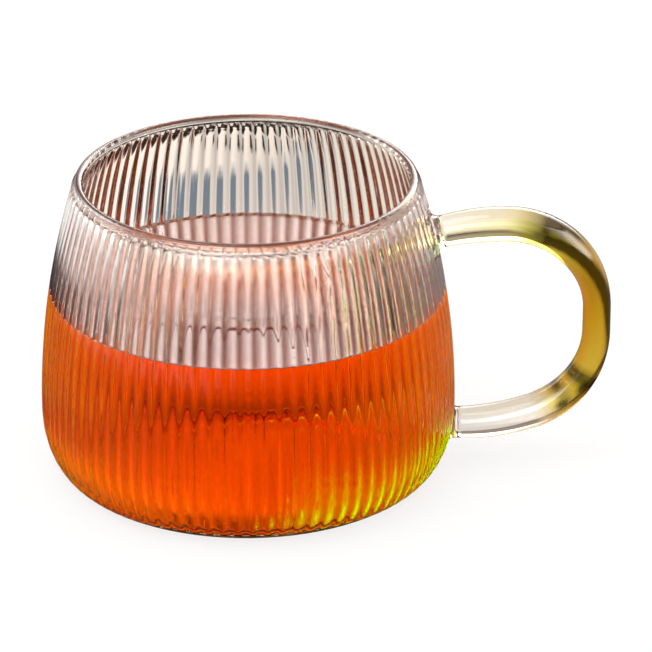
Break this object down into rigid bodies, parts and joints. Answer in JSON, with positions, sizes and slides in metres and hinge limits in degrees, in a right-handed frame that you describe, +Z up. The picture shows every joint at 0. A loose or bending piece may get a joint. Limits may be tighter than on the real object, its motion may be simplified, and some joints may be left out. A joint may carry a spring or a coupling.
{
  "type": "ribbed glass tea mug",
  "caption": "Ribbed clear glass cup with a rounded lip, a flat foot and a bent glass-rod handle fused on at two welds, for hot drinks.",
  "frame": {"origin": "centre of the flat foot, on the bowl's axis", "axes": "+Z up along the bowl's axis, +X from the axis towards the handle, +Y to the left of the handle seen from above the foot"},
  "size_m": [0.1344, 0.098, 0.0725],
  "materials": {
    "clear_glass": "clear mould-blown borosilicate glass, ribbed outside, fire-polished lip",
    "amber_glass": "amber-tinted solid glass rod, drawn and flame-bent",
    "weld_glass": "clear glass gather, fused and fire-polished"
  },
  "bodies": {
    "root": {"bowl": "clear_glass", "handle": "amber_glass", "upper_weld": "weld_glass", "lower_weld": "weld_glass"}
  },
  "joints": []
}
